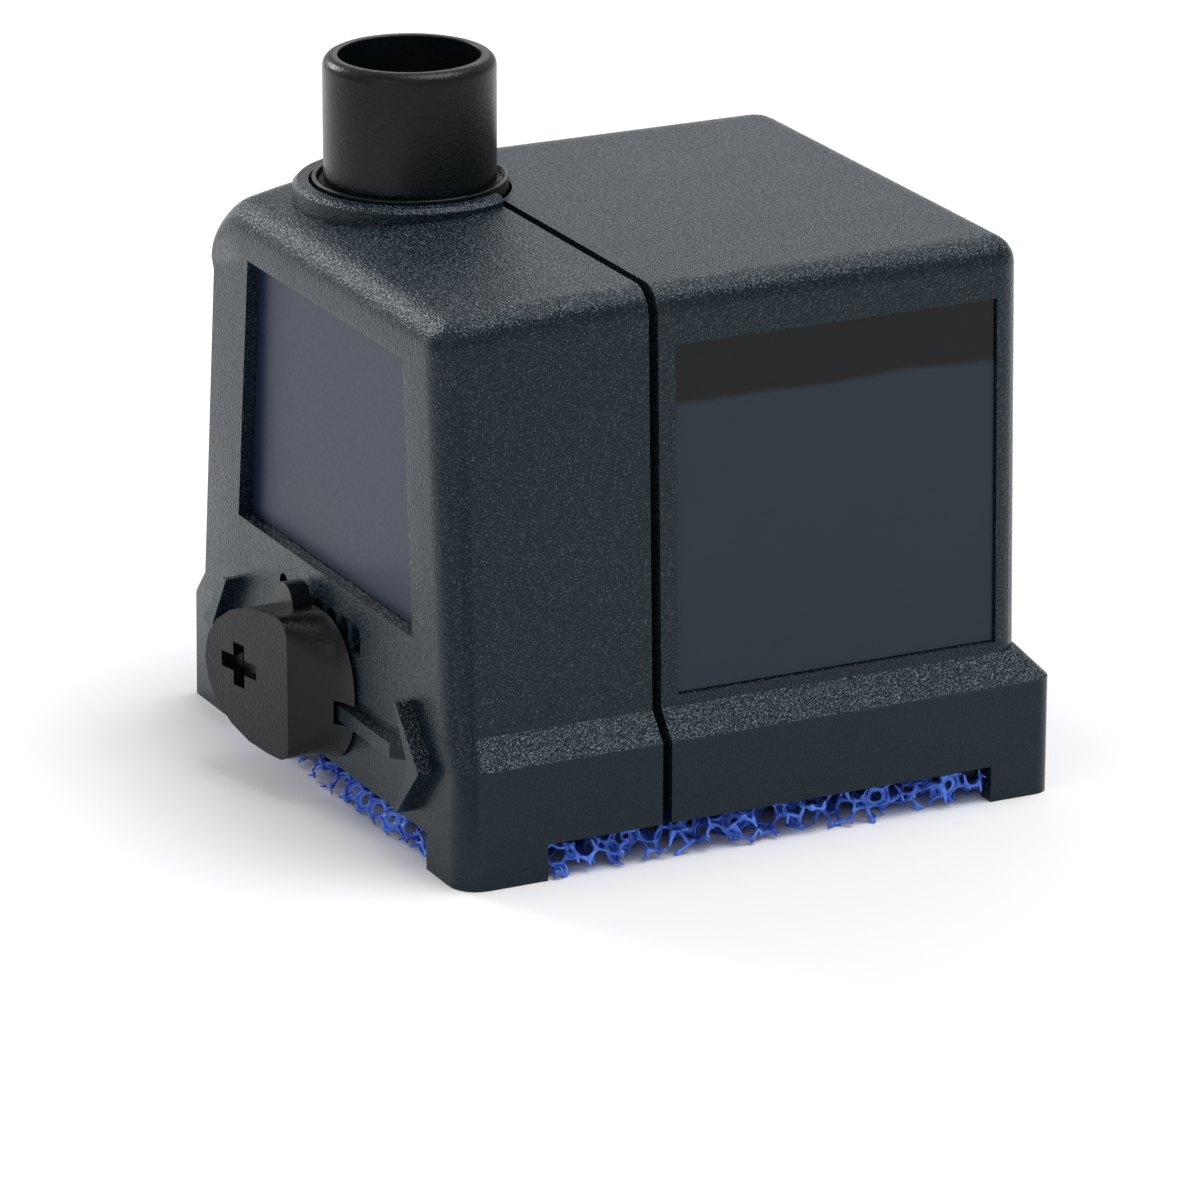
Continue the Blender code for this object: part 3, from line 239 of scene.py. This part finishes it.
def metalFinish(name, dark, light, roughness, grain):
    made, tree, shader = blankMaterial(name, roughness, metallic=1.0)
    point = objectPoint(tree)
    streaks = noise(tree, point, grain, 3.0)
    tree.links.new(tinted(tree, streaks, dark, light), shader.inputs["Base Color"])
    tree.links.new(ranged(tree, streaks, 0.3, 0.7, roughness - 0.08, roughness + 0.1), shader.inputs["Roughness"])
    bumped(tree, shader, streaks, 0.01 * mm)
    return made


finishes = {
    "casing": casingPlastic("casingPlastic", casingFinish),
    "slider": satinPlastic("sliderPlastic", (0.0012, 0.0030, 0.0042), (0.0024, 0.0050, 0.0066), 0.30,
                           0.36 * mm, 0.07 * mm, 0.24),
    "nozzle": satinPlastic("nozzlePlastic", (0.0022, 0.0042, 0.0048), (0.0040, 0.0066, 0.0074), 0.28,
                           0.36 * mm, 0.05 * mm, 0.24),
    "frontLabel": labelPlastic("frontLabelPlastic", labelFinish["frontDark"], labelFinish["frontLight"], 0.36),
    "sideLabel": labelPlastic("sideLabelPlastic", labelFinish["sideDark"], labelFinish["sideLight"], 0.22,
                              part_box("side_label")[1].z - labelFinish["bandDepth"]),
    "foam": foamPlastic("foamPlastic", foamFinish),
    "nylon": satinPlastic("greyNylon", (0.11, 0.11, 0.115), (0.17, 0.17, 0.175), 0.45, 0.25 * mm, 0.02 * mm),
    "impeller": satinPlastic("impellerPlastic", (0.55, 0.55, 0.53), (0.72, 0.72, 0.70), 0.35),
    "magnet": satinPlastic("ferriteMagnet", (0.035, 0.035, 0.038), (0.06, 0.06, 0.064), 0.5, 0.2 * mm, 0.03 * mm),
    "ceramic": satinPlastic("shaftCeramic", (0.76, 0.75, 0.72), (0.86, 0.85, 0.81), 0.16, 0.4 * mm, 0.004 * mm),
    "rubber": satinPlastic("sealRubber", (0.010, 0.010, 0.010), (0.018, 0.018, 0.018), 0.62, 0.4 * mm, 0.02 * mm),
    "core": metalFinish("coreSteel", (0.32, 0.33, 0.34), (0.52, 0.53, 0.54), 0.38, 0.5 * mm),
    "winding": metalFinish("windingCopper", (0.42, 0.15, 0.05), (0.66, 0.28, 0.10), 0.34, 0.4 * mm),
    "screw": metalFinish("screwSteel", (0.45, 0.45, 0.46), (0.66, 0.66, 0.67), 0.28, 0.6 * mm),
}
slotFinish = {
    "casing_plastic": "casing", "slider_plastic": "slider", "nozzle_plastic": "nozzle", "label_panel": "frontLabel",
    "foam": "foam", "inner_plastic": "nylon", "impeller_plastic": "impeller", "magnet": "magnet", "shaft": "ceramic",
    "seal_rubber": "rubber", "core_steel": "core", "winding": "winding", "screw_steel": "screw",
}
print("materials made:", len(finishes))


# ---- CAD nodes that stay: finish, welded corners, smooth curves, broken edges
def smoothByAngle(name, angle):
    # loose triangles are joined, then shaded smooth except over edges sharper than the angle
    tree = bpy.data.node_groups.new(name, "GeometryNodeTree")
    tree.interface.new_socket("Geometry", in_out="INPUT", socket_type="NodeSocketGeometry")
    tree.interface.new_socket("Geometry", in_out="OUTPUT", socket_type="NodeSocketGeometry")
    source = tree.nodes.new("NodeGroupInput")
    target = tree.nodes.new("NodeGroupOutput")
    weld = addNode(tree, "GeometryNodeMergeByDistance", {"Geometry": source.outputs[0], "Distance": 0.002 * mm})
    clear = addNode(tree, "GeometryNodeSetMeshNormal", {"Mesh": weld.outputs[0]}, mode="SHARPNESS")
    faces = addNode(tree, "GeometryNodeSetShadeSmooth", {"Geometry": clear.outputs[0]}, domain="FACE")
    bend = addNode(tree, "GeometryNodeInputMeshEdgeAngle").outputs["Unsigned Angle"]
    sharp = addNode(tree, "FunctionNodeCompare", {0: bend, 1: angle}, operation="GREATER_THAN")
    edges = addNode(tree, "GeometryNodeSetShadeSmooth", {"Geometry": faces.outputs[0], "Selection": sharp.outputs[0],
                                                         "Shade Smooth": False}, domain="EDGE")
    tree.links.new(edges.outputs[0], target.inputs[0])
    return tree


smoothGroup = smoothByAngle("weldAndSmooth", math.radians(34.0))
edgeAngle = math.radians(38.0)      # edges sharper than this are broken


def finishNode(name, material, edge=0.0):
    thing = nodes[name]
    thing.data.materials.clear()
    thing.data.materials.append(material)
    weld = thing.modifiers.new("weldAndSmooth", "NODES")
    weld.node_group = smoothGroup
    if edge:
        bevel = thing.modifiers.new("brokenEdges", "BEVEL")
        bevel.width = edge
        bevel.segments = 2
        bevel.limit_method = "ANGLE"
        bevel.angle_limit = edgeAngle
        bevel.harden_normals = True
    return thing


brokenEdges = {
    "front_cover": 0.28 * mm, "rear_cover": 0.28 * mm,
    "regulator_slider": 0.45 * mm, "outlet_nozzle": 0.15 * mm,
}

for part in frame["record"]["subparts"]:
    finishNode(part["node"], finishes[slotFinish[part["material_slot"]]], brokenEdges.get(part["node"], 0.0))
nodes["side_label"].data.materials[0] = finishes["sideLabel"]
print("CAD nodes finished")


# ---- foam foot: an open cell network cut to the CAD pad's outline
def meshObject(name, points, faceSets, material, smooth=True):
    # faceSets holds arrays of corner numbers, one row to a face
    mesh = bpy.data.meshes.new(name)
    corners = np.concatenate([rows.ravel() for rows in faceSets]).astype(np.int32)
    sizes = np.concatenate([np.full(len(rows), rows.shape[1]) for rows in faceSets])
    starts = np.concatenate([[0], np.cumsum(sizes)[:-1]]).astype(np.int32)
    mesh.vertices.add(len(points))
    mesh.vertices.foreach_set("co", points.astype(np.float32).ravel())
    mesh.loops.add(len(corners))
    mesh.loops.foreach_set("vertex_index", corners)
    mesh.polygons.add(len(starts))
    mesh.polygons.foreach_set("loop_start", starts)
    mesh.update(calc_edges=True)
    mesh.polygons.foreach_set("use_smooth", np.full(len(starts), smooth))
    mesh.materials.append(material)
    thing = bpy.data.objects.new(name, mesh)
    bpy.context.scene.collection.objects.link(thing)
    return thing


foamShape = {
    "cell": 3.9 * mm, "turn": (0.31, 0.52, 0.87),          # cell size and lattice turn, radians
    "warp": 0.75 * mm, "warpLength": 17.0 * mm, "jitter": 0.16 * mm,
    "strut": 0.15 * mm, "joint": 0.34 * mm, "bow": 0.18 * mm,
    "skin": 0.1 * mm, "ragged": 0.9 * mm, "spill": 1.3 * mm, "leastReach": 0.12, "floorGap": 0.05 * mm,
    "band": 6.0 * mm, "bandAbove": 2.0 * mm, "fineSides": 6, "fineSteps": 5, "coarseSides": 3, "coarseSteps": 2,
    "strutSpread": (0.8, 1.3), "jointSpread": (0.75, 1.25), "cutTip": 0.55, "cutBow": 0.3,
    "webShare": 0.8, "webHole": (0.35, 0.78), "webThickness": 0.03 * mm, "seed": 20,
}


def foamBlocks():
    # the CAD pad is three crossed blocks; its own corner coordinates give their sides
    pad = nodes["filter_foam"]
    points = np.empty(len(pad.data.vertices) * 3)
    pad.data.vertices.foreach_get("co", points)
    points = points.reshape(-1, 3) @ np.array(pad.matrix_world.to_3x3()).T + np.array(pad.matrix_world.translation)
    x, y, z = (np.unique(np.round(points[:, k], 5)) for k in range(3))
    # the cut foam bulges out of the openings and hangs to the floor
    spill = foamShape["spill"]
    x[0], x[-1], y[0], y[-1], z[0] = x[0] - spill, x[-1] + spill, y[0] - spill, y[-1] + spill, 0.0
    return np.array([
        [[x[1], y[1], z[0]], [x[-2], y[-2], z[-1]]],
        [[x[0], y[2], z[0]], [x[-1], y[-3], z[1]]],
        [[x[2], y[0], z[0]], [x[-3], y[-1], z[1]]],
    ])


def outside(points, blocks, skin):
    # distance past the nearest side of the crossed blocks, below nought inside
    middle = (blocks[:, 0] + blocks[:, 1]) / 2
    half = (blocks[:, 1] - blocks[:, 0]) / 2
    past = np.abs(points[..., None, :] - middle) - half
    return past.max(axis=-1).min(axis=-1) + skin


def kelvinLattice(shape, blocks):
    # cells of 8 hexagons and 6 squares on a body-centred lattice, in quarters of a cell
    low, high = blocks[:, 0].min(axis=0), blocks[:, 1].max(axis=0)
    count = int(np.linalg.norm(high - low) / shape["cell"] / 2) + 2
    steps = np.arange(-count, count + 1) * 4
    cubes = np.stack(np.meshgrid(steps, steps, steps, indexing="ij"), -1).reshape(-1, 3)
    centres = np.concatenate([cubes, cubes + 2])
    spin = np.eye(3)
    for axis, angle in enumerate(shape["turn"]):
        spin = np.array(Matrix.Rotation(angle, 3, "XYZ"[axis])) @ spin
    middle = (low + high) / 2
    scale = shape["cell"] / 4
    near = outside(centres @ spin.T * scale + middle, blocks, 0.0) < shape["cell"]
    centres = centres[near]
    corner = np.array([(a, b, c) for a in range(-2, 3) for b in range(-2, 3) for c in range(-2, 3)
                       if sorted((abs(a), abs(b), abs(c))) == [0, 1, 2]])
    apart = np.abs(corner[:, None] - corner[None]).sum(-1)
    straight = np.linalg.norm(corner[:, None] - corner[None], axis=-1)
    first, second = np.nonzero(np.triu((apart == 2) & (straight < 1.5)))
    points = centres[:, None] + corner
    keys = ((points + 4096) * np.array([1 << 26, 1 << 13, 1])).sum(-1)
    unique, numbers = np.unique(keys, return_inverse=True)
    numbers = numbers.reshape(keys.shape)
    place = np.empty((len(unique), 3))
    place[numbers.ravel()] = points.reshape(-1, 3)
    edges = np.unique(np.sort(numbers[:, np.stack([first, second], -1)].reshape(-1, 2), axis=1), axis=0)
    windows = []
    for normal in [(1, 0, 0), (0, 1, 0), (0, 0, 1), (1, 1, 1), (1, 1, -1), (1, -1, 1), (-1, 1, 1)]:
        n = np.array(normal)
        picked = np.nonzero(corner @ n == (corner @ n).max())[0]
        arms = corner[picked] - corner[picked].mean(axis=0)
        u = arms[0]
        v = np.cross(n, u)
        around = np.argsort(np.arctan2(arms @ v / np.linalg.norm(v), arms @ u / np.linalg.norm(u)))
        windows.append(numbers[:, picked[around]])
    return place @ spin.T * scale + middle, edges, windows


def strutTubes(start, end, radii, middleRadius, bow, sides, steps, phase):
    # each strut is a bowed tube, waisted in the middle, with a short cone closing each end
    run = end - start
    length = np.linalg.norm(run, axis=1, keepdims=True)
    ahead = run / length
    helper = np.eye(3)[np.abs(ahead).argmin(axis=1)]
    side = np.cross(ahead, helper)
    side /= np.linalg.norm(side, axis=1, keepdims=True)
    other = np.cross(ahead, side)
    t = np.linspace(0.0, 1.0, steps + 1)
    ends = np.where(t < 0.5, radii[:, :1], radii[:, 1:])
    radius = middleRadius[:, None] + (ends - middleRadius[:, None]) * np.abs(2 * t - 1) ** 2.2
    centre = start[:, None] + run[:, None] * t[:, None] + bow[:, None] * (4 * t * (1 - t))[:, None]
    angle = phase[:, None] + np.arange(sides) * (2 * math.pi / sides)
    ring = side[:, None] * np.cos(angle)[..., None] + other[:, None] * np.sin(angle)[..., None]
    rings = centre[:, :, None] + radius[:, :, None, None] * ring[:, None]
    tips = np.stack([start - ahead * radii[:, :1] * 0.5, end + ahead * radii[:, 1:] * 0.5], axis=1)
    count = len(start)
    points = np.concatenate([rings.reshape(count, -1, 3), tips], axis=1)
    size = points.shape[1]
    base = np.arange(count)[:, None, None] * size
    k = np.arange(sides)
    row = np.arange(steps)[:, None] * sides
    quad = np.stack([row + k, row + (k + 1) % sides, row + sides + (k + 1) % sides, row + sides + k], -1)
    low = np.stack([(k + 1) % sides, k, np.full(sides, size - 2)], -1)
    high = np.stack([steps * sides + k, steps * sides + (k + 1) % sides, np.full(sides, size - 1)], -1)
    quads = (base + quad.reshape(1, -1, 4)).reshape(-1, 4)
    caps = (base + np.concatenate([low, high])[None]).reshape(-1, 3)
    return points.reshape(-1, 3), quads, caps


def webPlates(corners, hole, thickness):
    # a thin plate over one window with a round hole, closed at both rims
    count, sides = corners.shape[:2]
    middle = corners.mean(axis=1, keepdims=True)
    outer = np.stack([corners, (corners + np.roll(corners, -1, axis=1)) / 2], axis=2).reshape(count, sides * 2, 3)
    arms = outer - middle
    length = np.linalg.norm(arms, axis=-1, keepdims=True)
    inner = middle + arms / length * length.min(axis=1, keepdims=True) * hole[:, None, None]
    normal = np.cross(arms, np.roll(arms, -1, axis=1)).sum(axis=1, keepdims=True)
    normal *= thickness / 2 / np.linalg.norm(normal, axis=-1, keepdims=True)
    ring = sides * 2
    points = np.concatenate([outer + normal, inner + normal, inner - normal, outer - normal], axis=1)
    k = np.arange(ring)
    after = (k + 1) % ring
    rows = [np.stack([a * ring + k, a * ring + after, b * ring + after, b * ring + k], -1)
            for a, b in ((0, 1), (1, 2), (2, 3), (3, 0))]
    faces = (np.arange(count)[:, None, None] * ring * 4 + np.concatenate(rows)[None]).reshape(-1, 4)
    return points.reshape(-1, 3), faces


def makeFoam(shape):
    rng = np.random.default_rng(shape["seed"])
    blocks = foamBlocks()
    place, edges, windows = kelvinLattice(shape, blocks)
    phase = rng.uniform(0, 2 * math.pi, (3, 3))
    wave = place * (2 * math.pi / shape["warpLength"])
    swell = [np.sin(wave[:, (k + 1) % 3] + phase[k, 0]) * np.cos(0.7 * wave[:, (k + 2) % 3] + phase[k, 1])
             for k in range(3)]
    place = place + shape["warp"] * np.stack(swell, -1)
    place = place + rng.normal(0.0, shape["jitter"], place.shape)
    joint = shape["joint"] * rng.uniform(*shape["jointSpread"], len(place))
    # struts with both ends outside go; one that crosses a side is cut there, more or less raggedly
    past = outside(place, blocks, shape["skin"])
    inner = past < 0.0
    edges = edges[inner[edges].any(axis=1)]
    edges = np.where(inner[edges[:, :1]], edges, edges[:, ::-1])
    start, end = place[edges[:, 0]], place[edges[:, 1]]
    cut = ~inner[edges[:, 1]]
    reach = np.ones(len(edges))
    lowReach = np.zeros(len(edges))
    for _ in range(12):
        half = (lowReach + reach) / 2
        out = outside(start + (end - start) * half[:, None], blocks, shape["skin"]) > 0.0
        reach = np.where(cut & out, half, reach)
        lowReach = np.where(cut & ~out, half, lowReach)
    short = rng.uniform(0.0, shape["ragged"], len(edges)) / shape["cell"]
    reach = np.where(cut, np.maximum(reach - short, shape["leastReach"]), 1.0)
    end = start + (end - start) * reach[:, None]
    radii = np.stack([joint[edges[:, 0]], np.where(cut, shape["strut"] * shape["cutTip"], joint[edges[:, 1]])], -1)
    thin = shape["strut"] * rng.uniform(*shape["strutSpread"], len(edges))
    bow = rng.normal(0.0, shape["bow"], start.shape) * np.where(cut, shape["cutBow"], 1.0)[:, None]
    turn = rng.uniform(0.0, 2 * math.pi, len(edges))
    # struts near an open side are seen close to, the rest only through them
    core = np.array([[blocks[:, 0].min(axis=0), blocks[:, 1].max(axis=0)]])
    core[0, :, 2] = -1.0, 1.0
    bandTop = blocks[1, 1, 2] + shape["bandAbove"]
    fine = (outside(start, core, shape["band"]) > 0.0) & (start[:, 2] < bandTop)
    parts, quadSets, capSets = [], [], []
    count = 0
    for chosen, sides, steps in ((fine, shape["fineSides"], shape["fineSteps"]),
                                 (~fine, shape["coarseSides"], shape["coarseSteps"])):
        points, quads, caps = strutTubes(start[chosen], end[chosen], radii[chosen], thin[chosen], bow[chosen],
                                         sides, steps, turn[chosen])
        parts.append(points)
        quadSets.append(quads + count)
        capSets.append(caps + count)
        count += len(points)
    for window in windows:
        corners = np.unique(window, axis=0)
        whole = inner[corners].all(axis=1) & (rng.random(len(corners)) < shape["webShare"])
        middle = place[corners].mean(axis=1)
        whole &= (outside(middle, core, shape["band"]) > 0.0) & (middle[:, 2] < bandTop)
        hole = rng.uniform(*shape["webHole"], whole.sum())
        points, quads = webPlates(place[corners[whole]], hole, shape["webThickness"])
        parts.append(points)
        quadSets.append(quads + count)
        count += len(points)
    points = np.concatenate(parts)
    points[:, 2] = np.maximum(points[:, 2], shape["floorGap"])
    print("foam struts:", len(start), "close to:", int(fine.sum()))
    foam = meshObject("foamNetwork", points, [np.concatenate(quadSets), np.concatenate(capSets)], finishes["foam"])
    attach(foam, "pump")
    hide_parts("filter_foam")


makeFoam(foamShape)


# ---- floor and light
lightSetup = {
    "floorSize": 6.0, "floorColor": (0.93, 0.93, 0.94), "world": 0.50,
    "lamps": {
        # name: place, size, power
        "backTop": ((0.24, 0.42, 1.45), 1.1, 16.0),
        "leftFront": ((-1.27, -0.50, 0.63), 0.6, 9.0),
        "backLeft": ((-1.25, 0.72, 0.85), 0.9, 2.0),
        "frontFill": ((0.9, -1.5, 0.9), 1.2, 3.0),
    },
}


def makeFloor(setup):
    half = setup["floorSize"] / 2
    mesh = bpy.data.meshes.new("floor")
    mesh.from_pydata([(-half, -half, 0), (half, -half, 0), (half, half, 0), (-half, half, 0)], [], [(0, 1, 2, 3)])
    floor = bpy.data.objects.new("floor", mesh)
    bpy.context.scene.collection.objects.link(floor)
    made, tree, shader = blankMaterial("floorPaper", 0.9, specular=0.1)
    shader.inputs["Base Color"].default_value = (*setup["floorColor"], 1.0)
    mesh.materials.append(made)


def makeLights(setup):
    world = bpy.data.worlds.new("studio")
    world.use_nodes = True
    world.node_tree.nodes["Background"].inputs["Color"].default_value = (1.0, 1.0, 1.0, 1.0)
    world.node_tree.nodes["Background"].inputs["Strength"].default_value = setup["world"]
    bpy.context.scene.world = world
    for name, (place, size, power) in setup["lamps"].items():
        data = bpy.data.lights.new(name, "AREA")
        data.shape = "DISK"
        data.size = size
        data.energy = power
        lamp = bpy.data.objects.new(name, data)
        lamp.location = place
        lamp.rotation_euler = (Vector((0.0, 0.0, 0.03)) - Vector(place)).to_track_quat("-Z", "Y").to_euler()
        lamp.visible_camera = False
        bpy.context.scene.collection.objects.link(lamp)


makeFloor(lightSetup)
makeLights(lightSetup)
bpy.context.scene.view_settings.view_transform = "Standard"
print("floor and light made")
